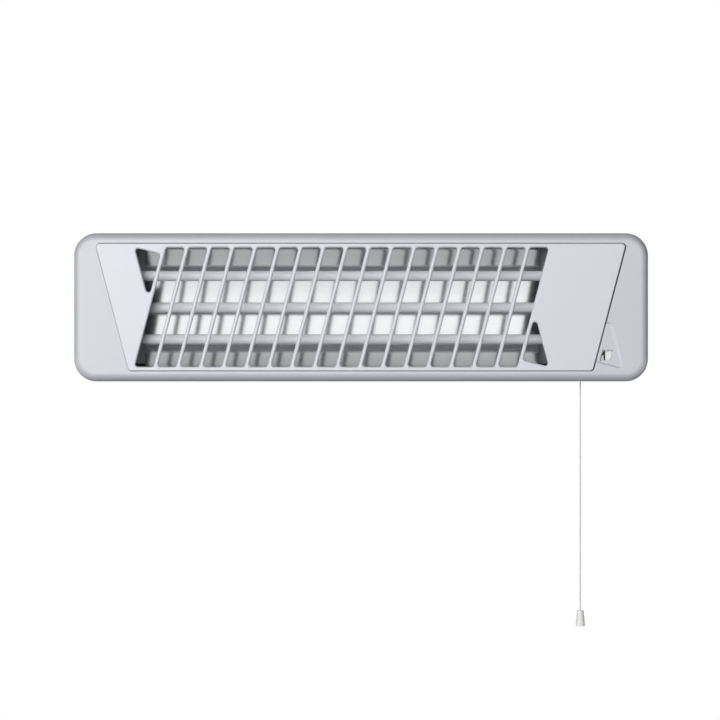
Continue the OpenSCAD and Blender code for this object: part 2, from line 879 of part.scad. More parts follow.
module common_lead() {
  x0 = grille_x - cap_end - tag_gap - tag_t / 2;
  y = front_y + common_depth;
  z0 = -tube_pitch - tag_w / 2;
  color(black)
    wire([[x0, tube_y, z0], [x0, tube_y, common_z], [x0, y, common_z], [common_x, y, common_z],
      [common_x, y, block_z], [block_x - block_w / 2, y, block_z]]);
}

module supply_leads() {
  color(black) for (i = [0, 2]) {
    y = rear_y - sheet_t - block_d / 2;
    wire([[pole_x(i), y, pole_z + pole_h], [pole_x(i), y, block_z - block_h / 2]]);
  }
}

module terminal_block() {
  color(white) difference() {
    translate([block_x - block_w / 2, rear_y - sheet_t - block_d, block_z - block_h / 2])
      cube([block_w, block_d, block_h]);
    for (i = [-1, 0, 1])
      bar_y(block_x + i * (block_pole + block_space), block_z, case_d - sheet_t - block_d - over,
        case_d - sheet_t - block_d / 2, block_pole / 2);
  }
}

module cable_gland() {
  color(dark) difference() {
    union() {
      bar_y(gland_x, gland_z, case_d - sheet_t - gland_nut_t - over, case_d + over / 2, gland_d / 2);
      translate([gland_x, rear_y + gland_hex_t, gland_z]) rotate([90, 0, 0])
        cylinder(d = gland_hex / cos(30), h = gland_hex_t, $fn = 6);
      translate([gland_x, rear_y + gland_hex_t, gland_z]) rotate([-90, 0, 0])
        cylinder(d1 = gland_dome_d, d2 = gland_d, h = gland_dome_l);
    }
    bar_y(gland_x, gland_z, case_d - sheet_t - gland_nut_t - 2 * over,
      case_d + gland_hex_t + gland_dome_l + over, gland_bore / 2);
  }
}

module gland_locknut() {
  color(dark) difference() {
    translate([gland_x, rear_y - sheet_t, gland_z]) rotate([90, 0, 0])
      cylinder(d = gland_hex / cos(30), h = gland_nut_t, $fn = 6);
    bar_y(gland_x, gland_z, case_d - sheet_t - gland_nut_t - over, case_d,
      gland_d / 2 + run_fit / 2);
  }
}

module cord_bush() {
  color(white) translate([cord_x, cord_y, outlet_z]) difference() {
    union() {
      cylinder(d = bush_d, h = bush_l);
      translate([0, 0, sheet_t]) cylinder(d = bush_rim_d, h = bush_rim_t);
    }
    translate([0, 0, -over]) cylinder(r = cord_d / 2 + bush_play, h = bush_l + 2 * over);
  }
}

module inner_cord() {
  start_z = hang_z + cord_d / 2 + fit;
  color(white) bar_z(cord_x, cord_y, start_z, stop_z - start_z, cord_d / 2);
}

module cord_stop() {
  color(steel) translate([cord_x, cord_y, stop_z]) difference() {
    sphere(d = stop_d);
    translate([0, 0, -stop_d]) cylinder(d = cord_d, h = stop_d);
  }
}

// Middle of the knot inside the bell
knot_z = bell_top_z - bell_h + knot_room - knot_d / 2;

module pull_cord() {
  color(white) {
    bar_z(cord_x, cord_y, knot_z, hang_z - knot_z, cord_d / 2);
    translate([cord_x, cord_y, hang_z]) sphere(d = cord_d);
  }
}

module cord_bell() {
  top = bell_top_d / 2;
  bore = cord_d / 2 + snug;
  room = knot_d / 2 + knot_space;
  color(white) translate([cord_x, cord_y, bell_top_z - bell_h]) rotate_extrude()
    difference() {
      polygon([[0, 0], [bell_d / 2, 0], [bell_mid_d / 2, bell_h - bell_step_h],
        [top, bell_h - bell_step_h], [top, bell_h - bell_round],
        [top - bell_round, bell_h], [0, bell_h]]);
      translate([-over, -over]) square([over + bore, bell_h + 2 * over]);
      translate([-over, -over]) square([over + room, over + knot_room + knot_space]);
    }
}

module cord_knot() {
  color(white) translate([cord_x, cord_y, knot_z]) difference() {
    sphere(d = knot_d);
    cylinder(d = cord_d, h = knot_d);
  }
}

wall_bracket();
pivot_bolts();
pivot_washers();
pivot_nuts();
swivel_yoke();
yoke_screws();
front_frame();
grille_panel();
rear_housing();
case_screws();
indicator_lens();
indicator_disc();
indicator_digits();
switch_spindle();
switch_lever();
switch_body();
switch_terminals();
reflector();
reflector_stays();
tube_carriers();
quartz_tube_top();
quartz_tube_middle();
quartz_tube_bottom();
heating_coils();
ceramic_caps();
cap_clips();
tube_studs();
stud_nuts();
link_strip();
tube_leads();
common_lead();
supply_leads();
terminal_block();
cable_gland();
gland_locknut();
cord_bush();
inner_cord();
cord_stop();
pull_cord();
cord_bell();
cord_knot();
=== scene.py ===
import json
import math

import bmesh
import bpy
from mathutils import Matrix, Vector

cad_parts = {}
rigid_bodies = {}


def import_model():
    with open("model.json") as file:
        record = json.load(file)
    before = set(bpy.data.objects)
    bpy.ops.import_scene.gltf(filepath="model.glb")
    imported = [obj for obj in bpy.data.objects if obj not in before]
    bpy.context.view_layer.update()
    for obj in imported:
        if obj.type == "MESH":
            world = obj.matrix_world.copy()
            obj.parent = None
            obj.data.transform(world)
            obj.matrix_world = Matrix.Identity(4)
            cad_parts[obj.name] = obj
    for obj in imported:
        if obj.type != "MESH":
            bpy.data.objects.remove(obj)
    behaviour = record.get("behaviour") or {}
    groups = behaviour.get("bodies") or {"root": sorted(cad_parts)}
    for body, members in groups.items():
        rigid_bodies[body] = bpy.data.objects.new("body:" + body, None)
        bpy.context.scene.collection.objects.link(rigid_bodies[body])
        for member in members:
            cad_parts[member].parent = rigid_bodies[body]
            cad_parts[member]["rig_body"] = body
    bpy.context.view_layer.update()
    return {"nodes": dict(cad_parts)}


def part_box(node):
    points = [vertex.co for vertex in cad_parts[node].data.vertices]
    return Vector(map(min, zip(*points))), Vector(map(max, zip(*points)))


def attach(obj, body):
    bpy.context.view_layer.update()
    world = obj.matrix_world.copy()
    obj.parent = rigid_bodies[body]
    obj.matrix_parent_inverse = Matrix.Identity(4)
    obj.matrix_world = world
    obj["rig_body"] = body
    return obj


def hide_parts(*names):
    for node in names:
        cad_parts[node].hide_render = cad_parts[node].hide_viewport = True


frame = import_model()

MM = 0.001
WELD = 0.01 * MM
scene = bpy.context.scene

# ---------------------------------------------------------------- camera
# The photograph is 720 pixels wide, and a pixel covers PIXEL on the casing's front face.
IMAGE = 720
PIXEL = 1.0415 * MM
EYE = 2150 * MM
EYE_X, EYE_Z = -1.15 * MM, -55.1 * MM
SENSOR = 36
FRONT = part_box("front_frame")[0].y

camera_data = bpy.data.cameras.new("camera")
camera_data.sensor_width = SENSOR
camera_data.lens = SENSOR * EYE / (IMAGE * PIXEL)
camera_data.clip_end = 50
camera = bpy.data.objects.new("camera", camera_data)
camera.location = (EYE_X, FRONT - EYE, EYE_Z)
camera.rotation_euler = (math.radians(90), 0, 0)
scene.collection.objects.link(camera)
scene.camera = camera
scene.view_settings.view_transform = "Standard"

# ---------------------------------------------------------------- pull cord's route
CORD_X, CORD_Y = 231 * MM, -94 * MM
CORD_TOP, CORD_END = -78.3 * MM, -331.1 * MM
CORD_D = 1.5 * MM
CORD_POINTS = 26
BELL_FOOT = -335.2 * MM


# ---------------------------------------------------------------- materials
# A noise texture's values lie mostly between these two
NOISE_LOW, NOISE_HIGH = 0.3, 0.7


def srgb(hex_code):
    """A written colour as the linear values that a shader takes."""
    parts = [int(hex_code[i:i + 2], 16) / 255 for i in (1, 3, 5)]
    return [c / 12.92 if c <= 0.04045 else ((c + 0.055) / 1.055) ** 2.4 for c in parts] + [1]


def add(tree, kind, inputs=(), **settings):
    """Adds a node with its settings.

    inputs gives each socket a value, or the output that feeds it.
    """
    node = tree.nodes.new("ShaderNode" + kind)
    for name, value in settings.items():
        setattr(node, name, value)
    for socket, value in dict(inputs).items():
        if isinstance(value, bpy.types.NodeSocket):
            tree.links.new(value, node.inputs[socket])
        else:
            node.inputs[socket].default_value = value
    return node


def material(name, colour, **sockets):
    """A material with these constants on its shader's own sockets, its tree and that shader."""
    made = bpy.data.materials.new(name)
    made.use_nodes = True
    shader = made.node_tree.nodes["Principled BSDF"]
    shader.inputs["Base Color"].default_value = srgb(colour)
    for socket, value in sockets.items():
        shader.inputs[socket.replace("_", " ")].default_value = value
    return made, made.node_tree, shader


def blotch(tree, size, detail=2.0, stretch=(1, 1, 1), kind="TexNoise"):
    """A pattern whose grains are about size across, drawn in the object's own coordinates."""
    coords = add(tree, "TexCoord").outputs["Object"]
    mapped = add(tree, "Mapping", {"Vector": coords, "Scale": [s / size for s in stretch]})
    inputs = {"Vector": mapped.outputs[0], "Scale": 1.0}
    if kind == "TexNoise":
        inputs["Detail"] = detail
    return add(tree, kind, inputs).outputs[0]


def surface(tree, shader, tones=None, sheen=None, relief=None):
    """Feeds the shader with patterns and returns its colour.

    tones is a pattern with the colours at its low and its high, and these two if it is no noise.
    sheen is a pattern with the roughness at its low and its high.
    relief is a pattern with how far the surface rises where it is 1.
    """
    colour = None
    if tones:
        pattern, dark, light, *span = tones
        low, high = span or (NOISE_LOW, NOISE_HIGH)
        share = add(tree, "MapRange", {"Value": pattern, "From Min": low, "From Max": high})
        colour = add(tree, "Mix", {0: share.outputs[0], 6: srgb(dark), 7: srgb(light)},
                     data_type="RGBA").outputs[2]
        tree.links.new(colour, shader.inputs["Base Color"])
    if sheen:
        pattern, smooth, rough = sheen
        wander = add(tree, "MapRange", {"Value": pattern, "From Min": NOISE_LOW,
                                        "From Max": NOISE_HIGH, "To Min": smooth, "To Max": rough})
        tree.links.new(wander.outputs[0], shader.inputs["Roughness"])
    if relief:
        pattern, depth = relief
        bump = add(tree, "Bump", {"Height": pattern, "Distance": depth, "Strength": 1.0})
        tree.links.new(bump.outputs[0], shader.inputs["Normal"])
    return colour


def lacquer(name, dark, light, painted_shade=None):
    """Sprayed silver lacquer: fine flakes in a satin binder, with the faint waves of the spray."""
    made, tree, shader = material(name, light, Metallic=0.45, Roughness=0.45, IOR=1.5)
    # Flakes are 0.05 mm; they are drawn 0.5 mm wide so that they show at all
    coat = surface(tree, shader, tones=(blotch(tree, 0.5 * MM, 3.0), dark, light),
                   sheen=(blotch(tree, 6 * MM), 0.42, 0.48),
                   relief=(blotch(tree, 1.8 * MM, 1.0), 0.008 * MM))
    if painted_shade:
        # Painted shade: faces that carry the attribute take this dark grey instead of the lacquer,
        # standing in for the shade in the joint round the panel and on the backs of the bars
        shaded_share = add(tree, "Attribute", attribute_name="painted_shade").outputs["Fac"]
        shade = add(tree, "Mix", {0: shaded_share, 6: coat, 7: srgb(painted_shade)}, data_type="RGBA")
        tree.links.new(shade.outputs[2], shader.inputs["Base Color"])
    return made


def sheet_metal(name, dark, light, rough, grain):
    """Bare or plated sheet: a soft cloud of two greys, and finer spots that scatter the gloss."""
    made, tree, shader = material(name, light, Metallic=1.0, Roughness=rough)
    surface(tree, shader, tones=(blotch(tree, grain, 3.0), dark, light),
            sheen=(blotch(tree, grain / 4), rough * 0.85, rough * 1.2),
            relief=(blotch(tree, grain / 6), 0.004 * MM))
    return made


def moulded(name, dark, light, rough, grain=0.4 * MM, ior=1.49):
    """Moulded plastic or fired ceramic: an even body colour with the fine skin of its mould."""
    made, tree, shader = material(name, light, Roughness=rough, IOR=ior)
    surface(tree, shader, tones=(blotch(tree, 3 * MM), dark, light),
            sheen=(blotch(tree, 1.5 * MM), rough * 0.9, rough * 1.15),
            relief=(blotch(tree, grain, 1.0), 0.01 * MM))
    return made


# The grille's lacquer is a shade lighter than the frame's and the housing's: painted light for the
# brighter reflection of its flat face beside the frame's slightly curved one. The third colour of
# the frame's and the grille's lacquer is painted shade for the joint and the backs of the bars.
frame_lacquer_painted_shade = lacquer("silver_lacquer_frame_painted_shade", "#ced0d6", "#d8dadf", "#5c5e63")
grille_lacquer_painted_light_and_shade = lacquer("silver_lacquer_grille_painted_light_and_shade", "#d9dbe1", "#e3e5ea", "#6c6e73")
housing_lacquer = lacquer("silver_lacquer_housing", "#ced0d6", "#d8dadf")
zinc = sheet_metal("zinc_plated_steel", "#a9aeb4", "#c3c7cc", 0.38, 9 * MM)
steel = sheet_metal("steel_fastener", "#9b9ea3", "#b7babf", 0.30, 2 * MM)
brass = sheet_metal("brass_strip", "#b8934a", "#cda95d", 0.32, 3 * MM)
ceramic = moulded("steatite_ceramic", "#ded9cd", "#e9e6dd", 0.55, 0.25 * MM, 1.6)
white_plastic = moulded("white_moulded_plastic", "#e6e6e8", "#efeff0", 0.38)
# Painted light: the number disc's white is brighter than the other white plastic, to make up for
# the shade it lies in behind the window
dial_plastic_painted_light = moulded("dial_plastic_painted_light", "#f4f4f6", "#fbfbfc", 0.5)
bell_plastic = moulded("bell_plastic", "#dededc", "#e8e8e6", 0.36)
dark_plastic = moulded("dark_moulded_plastic", "#2f3135", "#3a3c41", 0.45, 0.3 * MM)
black_print = moulded("black_print", "#08080a", "#0e0e10", 0.8, 0.1 * MM)
black_print.node_tree.nodes["Principled BSDF"].inputs["Specular IOR Level"].default_value = 0.2


def polished():
    """Bright-rolled aluminium: nearly a mirror, with rolling lines along the sheet."""
    made, tree, shader = material("bright_rolled_aluminium", "#f5f6f8", Metallic=1.0,
                                  Roughness=0.14)
    # Rolling lines are 0.6 mm apart across the sheet and run unbroken for about 150 mm
    lines = blotch(tree, 0.6 * MM, 2.0, (0.004, 1, 1))
    surface(tree, shader, tones=(lines, "#f2f4f6", "#f8f9fa"), sheen=(lines, 0.12, 0.16),
            relief=(blotch(tree, 25 * MM, 1.0, (0.4, 1, 1)), 0.012 * MM))
    return made


def milky_quartz():
    """Milky fused quartz: dense white with drawn-out bubbles, under a fire-polished skin."""
    made, tree, shader = material("milky_fused_quartz", "#d6d8dc", Roughness=0.22, IOR=1.46,
                                  Subsurface_Weight=0.6, Subsurface_Scale=0.6 * MM,
                                  Subsurface_Radius=(1, 1, 1))
    # Bubbles are drawn out by the pulling of the tube: 0.7 mm across and some 20 mm long
    bubbles = blotch(tree, 0.7 * MM, 3.0, (0.035, 1, 1))
    surface(tree, shader, tones=(bubbles, "#d0d2d6", "#dcdee2"), sheen=(bubbles, 0.18, 0.27),
            relief=(blotch(tree, 4 * MM, 1.0, (0.1, 1, 1)), 0.01 * MM))
    return made


def coil_wire():
    """Drawn resistance wire, dulled by its oxide."""
    made, tree, shader = material("oxidised_resistance_wire", "#6f6a64", Metallic=1.0,
                                  Roughness=0.45)
    surface(tree, shader, tones=(blotch(tree, 1.2 * MM, 3.0), "#5c5752", "#7d776f"))
    return made


def clear_plastic():
    """Clear moulded pane: only its gloss shows over what lies behind it."""
    made, tree, shader = material("clear_polycarbonate", "#6a6e72", Roughness=0.12, IOR=1.58,
                                  Alpha=0.06)
    surface(tree, shader, relief=(blotch(tree, 2 * MM, 1.0), 0.004 * MM))
    made.surface_render_method = "BLENDED"
    return made


def weave(name, dark, light, pitch, turns, centre):
    """Braided cover: two sets of strands that wind against each other round an upright axis."""
    made, tree, shader = material(name, light, Roughness=0.7, IOR=1.5)
    coords = add(tree, "TexCoord").outputs["Object"]
    local = add(tree, "VectorMath", {0: coords, 1: centre}, operation="SUBTRACT")
    x, y, z = add(tree, "SeparateXYZ", {0: local.outputs[0]}).outputs
    angle = add(tree, "Math", {0: x, 1: y}, operation="ARCTAN2").outputs[0]
    wind = add(tree, "Math", {0: angle, 1: turns}, operation="MULTIPLY").outputs[0]
    along = add(tree, "Math", {0: z, 1: 2 * math.pi / pitch}, operation="MULTIPLY").outputs[0]
    strands = []
    for operation in ("ADD", "SUBTRACT"):
        wound = add(tree, "Math", {0: wind, 1: along}, operation=operation).outputs[0]
        strands.append(add(tree, "Math", {0: wound}, operation="SINE").outputs[0])
    braid = add(tree, "Math", {0: strands[0], 1: strands[1]}, operation="MULTIPLY").outputs[0]
    # Painted shade: the colour darkens where the braid sinks, in the valleys between the strands
    surface(tree, shader, tones=(braid, dark, light, -1.0, 0.8), relief=(braid, 0.06 * MM))
    return made


aluminium = polished()
quartz = milky_quartz()
wire_metal = coil_wire()
pane = clear_plastic()
# Eight-strand nylon braid, a crossing every 1.2 mm of cord
cord_braid = weave("braided_nylon", "#c4c6c9", "#e6e7e8", 2.4 * MM, 4, (CORD_X, CORD_Y, 0))
# Glass-fibre sleeve over the leads: its weave shows as cells 0.8 mm across, drawn darker where they
# sink, which is painted shade
sleeve, sleeve_tree, sleeve_shader = material("glass_fibre_sleeve", "#3a3a3c",
                                              Roughness=0.75, IOR=1.5)
cells = blotch(sleeve_tree, 0.8 * MM, kind="TexVoronoi")
surface(sleeve_tree, sleeve_shader, tones=(cells, "#2a2a2c", "#4c4c50", 0.0, 0.8),
        relief=(cells, 0.05 * MM))

FINISHES = {
    "silver_lacquer": frame_lacquer_painted_shade, "zinc": zinc, "steel": steel, "polished_aluminium": aluminium,
    "milky_quartz": quartz, "coil_wire": wire_metal, "ceramic": ceramic, "brass": brass,
    "white_plastic": white_plastic, "dark_plastic": dark_plastic, "black_print": black_print,
    "lens": pane, "lead_sleeve": sleeve, "white_cord": cord_braid, "bell_plastic": bell_plastic,
}


# ---------------------------------------------------------------- making pieces
def body_of(node):
    """The moving body that a CAD node belongs to."""
    return frame["nodes"][node]["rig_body"]


def slot_of(node):
    """The record's material slot that a CAD node was packed with."""
    return frame["nodes"][node].material_slots[0].material.name.split(".")[0]


SLOTS = {node: slot_of(node) for node in frame["nodes"]}


def place(obj, node, finish=None):
    """Puts a new piece on the body of the node that it stands for."""
    obj.data.materials.clear()
    obj.data.materials.append(finish or FINISHES[SLOTS[node]])
    scene.collection.objects.link(obj)
    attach(obj, body_of(node))
    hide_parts(node)
    return obj


def piece(name, bm, node, finish=None, sharp=40, weighted=True):
    """A finished piece from bm, smooth but for edges that turn by more than sharp degrees."""
    mesh = bpy.data.meshes.new(name)
    bm.to_mesh(mesh)
    bm.free()
    normals = mesh.attributes.get("custom_normal")
    if normals:
        mesh.attributes.remove(normals)
    mesh.shade_smooth()
    mesh.set_sharp_from_angle(angle=math.radians(sharp))
    obj = bpy.data.objects.new(name, mesh)
    if weighted:
        obj.modifiers.new("even_shading", "WEIGHTED_NORMAL").keep_sharp = True
    return place(obj, node, finish)


def merged(node):
    """A CAD node's loose triangles as one closed mesh, its flat faces whole."""
    bm = bmesh.new()
    bm.from_mesh(frame["nodes"][node].data)
    bmesh.ops.remove_doubles(bm, verts=bm.verts, dist=WELD)
    bmesh.ops.dissolve_limit(bm, angle_limit=math.radians(0.3), verts=bm.verts, edges=bm.edges)
    return bm


def round_edges(bm, width, segments, angle):
    """Rounds the edges that turn by more than angle degrees."""
    turn = math.radians(angle)
    chosen = [e for e in bm.edges if len(e.link_faces) == 2 and e.calc_face_angle() > turn]
    bmesh.ops.bevel(bm, geom=chosen, offset=width, offset_type="OFFSET", segments=segments,
                    profile=0.5, affect="EDGES", clamp_overlap=True, material=-1)


def dress(name, node, width, segments=2, finish=None, angle=35):
    """A merged copy of a CAD node with rounded edges, standing for the node."""
    bm = merged(node)
    round_edges(bm, width, segments, angle)
    return piece(name, bm, node, finish)


def turned(profile, steps=48):
    """A turned body as a mesh to copy: a closed profile of (radius, height) points spun round Z."""
    bm = bmesh.new()
    ring = [bm.verts.new((r, 0, h)) for r, h in profile]
    pairs = [(ring[i - 1], ring[i]) for i in range(len(ring))]
    edges = [bm.edges.new(p) for p in pairs if max(p[0].co.x, p[1].co.x) > WELD]
    bmesh.ops.spin(bm, geom=ring + edges, cent=(0, 0, 0), axis=(0, 0, 1), dvec=(0, 0, 0),
                   angle=2 * math.pi, steps=steps, use_merge=True, use_duplicate=False)
    bmesh.ops.remove_doubles(bm, verts=bm.verts, dist=WELD / 10)
    mesh = bpy.data.meshes.new("turned")
    bm.to_mesh(mesh)
    bm.free()
    return mesh


def gather(parts):
    """One bmesh of (mesh, matrix) pairs, each mesh copied to its place, faces outwards."""
    bm = bmesh.new()
    for mesh, matrix in parts:
        first = len(bm.verts)
        bm.from_mesh(mesh)
        bm.verts.ensure_lookup_table()
        bmesh.ops.transform(bm, matrix=matrix, verts=bm.verts[first:])
    bmesh.ops.recalc_face_normals(bm, faces=bm.faces)
    return bm


def soft_profile(points, radius, steps=3):
    """The closed profile with each of its corners cut into a small arc."""
    made = []
    count = len(points)
    for i, corner in enumerate(points):
        b = Vector(corner)
        before = (Vector(points[i - 1]) - b)
        after = (Vector(points[(i + 1) % count]) - b)
        reach = min(radius, before.length * 0.45, after.length * 0.45)
        start, end = b + before.normalized() * reach, b + after.normalized() * reach
        if b.x < WELD:
            made.append(tuple(b))
            continue
        for k in range(steps + 1):
            t = k / steps
            point = start * (1 - t) ** 2 + b * 2 * t * (1 - t) + end * t ** 2
            made.append(tuple(point))
    return made


AXIS_X = Matrix.Rotation(math.radians(90), 4, "Y")

# ---------------------------------------------------------------- pull cord, bell and knot
strand = bpy.data.curves.new("pull_cord_braid", "CURVE")
strand.dimensions = "3D"
strand.bevel_depth = CORD_D / 2
strand.bevel_resolution = 4
strand.use_fill_caps = True
line = strand.splines.new("POLY")
line.points.add(CORD_POINTS - 1)
for i, point in enumerate(line.points):
    share = i / (CORD_POINTS - 1)
    point.co = (CORD_X, CORD_Y, CORD_TOP + (CORD_END - CORD_TOP) * share, 1)
cord = bpy.data.objects.new("pull_cord_braid", strand)
place(cord, "pull_cord")

bell_points = [(0.85, 16.2), (3.7, 16.2), (3.7, 11.2), (4.1, 11.2), (4.9, 0), (4.1, 0),
               (2.25, 2.4), (2.25, 6.35), (0.85, 6.35)]
bell_body = turned(soft_profile([(r * MM, h * MM) for r, h in bell_points], 0.45 * MM, 4), 64)
bell = piece("bell_grip", gather([(bell_body, Matrix.Translation((CORD_X, CORD_Y, BELL_FOOT)))]),
             "cord_bell", sharp=60)

# Overhand knot: a trefoil pulled tight round the cord's end
KNOT_SIZE, KNOT_LIFT, KNOT_STRAND, KNOT_STEPS = 0.36 * MM, 0.6 * MM, 0.62 * MM, 60
loop = bpy.data.curves.new("cord_end_knot", "CURVE")
loop.dimensions = "3D"
loop.bevel_depth = KNOT_STRAND
loop.bevel_resolution = 3
turn = loop.splines.new("POLY")
turn.points.add(KNOT_STEPS - 1)
turn.use_cyclic_u = True
for i, point in enumerate(turn.points):
    t = 2 * math.pi * i / KNOT_STEPS
    point.co = (CORD_X + KNOT_SIZE * (math.sin(t) + 2 * math.sin(2 * t)),
                CORD_Y + KNOT_SIZE * (math.cos(t) - 2 * math.cos(2 * t)),
                CORD_END - KNOT_LIFT * math.sin(3 * t), 1)
knot = bpy.data.objects.new("cord_end_knot", loop)
place(knot, "cord_knot")

# ---------------------------------------------------------------- casing
SLOT_TOP, SLOT_LEFT, SLOT_RIGHT = 62.5 * MM, -238 * MM, 198 * MM
BAR_R = 1.7 * MM
RIM_R = 0.8 * MM
JOINT_LEFT, JOINT_RIGHT, JOINT_LONG = 0.7 * MM, 0.5 * MM, 0.3 * MM
RECESS_T, RECESS_SLOPE = 0.8 * MM, 1.6 * MM
# A slope that faces left is RECESS_SLOPE wide, and the others come down to this share of it
LEAST_SLOPE = 0.4
# Painted shade: the frame takes the dark grey inside this outline and below this depth, but for the
# window's walls
PAINTED_SHADE_X, PAINTED_SHADE_Z, PAINTED_SHADE_Y = 277 * MM, 67 * MM, 1.5 * MM
WINDOW_LEFT, WINDOW_FOOT, WINDOW_HEAD = 247.5 * MM, -57 * MM, -43 * MM
# Of the casing, only edges that turn by more degrees than this are rounded
SHARP_TURN = 50


def in_slots(point):
    """Whether a point on the panel's edges belongs to a slot or cut-out, not to the panel's rim."""
    return abs(point.z) < SLOT_TOP and SLOT_LEFT < point.x < SLOT_RIGHT


shell = merged("front_frame")
# The walls of the shallow recess round the indicator window become soft slopes, widest at its right
slopes = {}
for face in shell.faces:
    depths = [vert.co.y - FRONT for vert in face.verts]
    if min(depths) < WELD and WELD < max(depths) < RECESS_T + WELD and abs(face.normal.y) < 0.1:
        for vert in face.verts:
            slopes[vert] = slopes.get(vert, Vector()) + face.normal
for vert, inwards in slopes.items():
    walls = [face for face in vert.link_faces if abs(face.normal.y) < 0.1]
    if max(v.co.y for face in walls for v in face.verts) < FRONT + RECESS_T + WELD:
        inwards.normalize()
        on_front = vert.co.y < FRONT + WELD
        reach = RECESS_SLOPE * (LEAST_SLOPE + (1 - LEAST_SLOPE) * max(0, -inwards.x))
        # The edge along the joint stays where it is
        if not (on_front and inwards.x > 0.6):
            vert.co += inwards * (-reach if on_front else reach)
shell.normal_update()
round_edges(shell, 0.2 * MM, 2, SHARP_TURN)
# Painted shade: the frame's faces deep inside the joint are marked for the dark grey
painted_shade = shell.faces.layers.float.new("painted_shade")
for face in shell.faces:
    inside = all(abs(v.co.x) < PAINTED_SHADE_X and abs(v.co.z) < PAINTED_SHADE_Z for v in face.verts)
    window = all(v.co.x > WINDOW_LEFT and WINDOW_FOOT < v.co.z < WINDOW_HEAD for v in face.verts)
    deep = max(v.co.y for v in face.verts) > FRONT + PAINTED_SHADE_Y
    face[painted_shade] = 1.0 if inside and deep and not window else 0.0
piece("front_shell", shell, "front_frame", frame_lacquer_painted_shade, sharp=14)

# The joint round the panel is tight on the left and open on the right, as in the photograph
panel = merged("grille_panel")
for vert in panel.verts:
    if not in_slots(vert.co):
        vert.co.x -= JOINT_LEFT if vert.co.x < 0 else JOINT_RIGHT
        vert.co.z += math.copysign(JOINT_LONG, vert.co.z)
panel.normal_update()
# Painted shade: the panel's back faces are marked for the dark grey, so that the bars' images in
# the trough come out darker
painted_shade = panel.faces.layers.float.new("painted_shade")
for face in panel.faces:
    face[painted_shade] = 1.0 if face.normal.y > 0.5 else 0.0
weights = panel.edges.layers.float.new("bevel_weight_edge")
for edge in panel.edges:
    one, other = (v.co for v in edge.verts)
    if max(one.y, other.y) < FRONT + WELD and edge.calc_face_angle() > math.radians(SHARP_TURN):
        edge[weights] = 1.0 if in_slots(one) else RIM_R / BAR_R
grille = piece("slotted_grille", panel, "grille_panel", grille_lacquer_painted_light_and_shade)
rounding = grille.modifiers.new("rounded_bars", "BEVEL")
rounding.limit_method = "WEIGHT"
rounding.width, rounding.segments, rounding.use_clamp_overlap = BAR_R, 6, False
rounding.loop_slide = False
grille.modifiers.move(1, 0)
dress("back_shell", "rear_housing", 0.3 * MM, 2, housing_lacquer, SHARP_TURN)

# ---------------------------------------------------------------- reflector
TROUGH_MID = (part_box("reflector")[0].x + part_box("reflector")[1].x) / 2
TROUGH_HALF = 209.5 * MM
TROUGH_DEPTH = 50 * MM
TROUGH_EDGE = 63.2 * MM
TROUGH_FRONT = 8 * MM
SHEET = 0.8 * MM
TROUGH_R = 260 * MM
FOLD_R = 1.5 * MM
TROUGH_ARC = math.degrees(math.asin((TROUGH_EDGE - FOLD_R) / (TROUGH_R - FOLD_R)))


def extrude_on(bm, edges, step):
    """Extrudes edges by step and returns the new far edges."""
    made = bmesh.ops.extrude_edge_only(bm, edges=edges)["geom"]
    verts = [g for g in made if isinstance(g, bmesh.types.BMVert)]
    bmesh.ops.translate(bm, vec=step, verts=verts)
    edges = [g for g in made if isinstance(g, bmesh.types.BMEdge)]
    return [edge for edge in edges if all(v in verts for v in edge.verts)]


def spin_on(bm, edges, centre, degrees, steps):
    """Spins edges round an X line through centre and returns the new far edges."""
    made = bmesh.ops.spin(bm, geom=edges, cent=centre, axis=(1, 0, 0), dvec=(0, 0, 0),
                          angle=math.radians(degrees), steps=steps)["geom_last"]
    return [g for g in made if isinstance(g, bmesh.types.BMEdge)]


def edge_point(edges):
    """Where the first of these edges starts."""
    return edges[0].verts[0].co.copy()


def bend_on(bm, edges, radius, slope, degrees, steps):
    """Bends the sheet forwards from slope by degrees."""
    lean = Vector((0, math.cos(math.radians(slope)), math.sin(math.radians(slope))))
    return spin_on(bm, edges, edge_point(edges) - lean * radius, degrees, steps)


bm = bmesh.new()
ends = [bm.verts.new((TROUGH_MID + s * TROUGH_HALF, FRONT + TROUGH_DEPTH, 0)) for s in (-1, 1)]
rim = bend_on(bm, [bm.edges.new(ends)], TROUGH_R, 0, TROUGH_ARC, 24)
rim = bend_on(bm, rim, FOLD_R, TROUGH_ARC, 90 - TROUGH_ARC, 6)
extrude_on(bm, rim, (0, FRONT + TROUGH_FRONT - edge_point(rim).y, 0))
bmesh.ops.remove_doubles(bm, verts=bm.verts, dist=WELD)
bmesh.ops.mirror(bm, geom=bm.verts[:] + bm.edges[:] + bm.faces[:], axis="Z", merge_dist=WELD)
bmesh.ops.recalc_face_normals(bm, faces=bm.faces)
bm.faces.ensure_lookup_table()
if min(bm.faces, key=lambda f: abs(f.calc_center_median().z)).normal.y > 0:
    bmesh.ops.reverse_faces(bm, faces=bm.faces)
bmesh.ops.solidify(bm, geom=bm.faces[:], thickness=SHEET)
piece("mirror_trough", bm, "reflector", sharp=50, weighted=False)

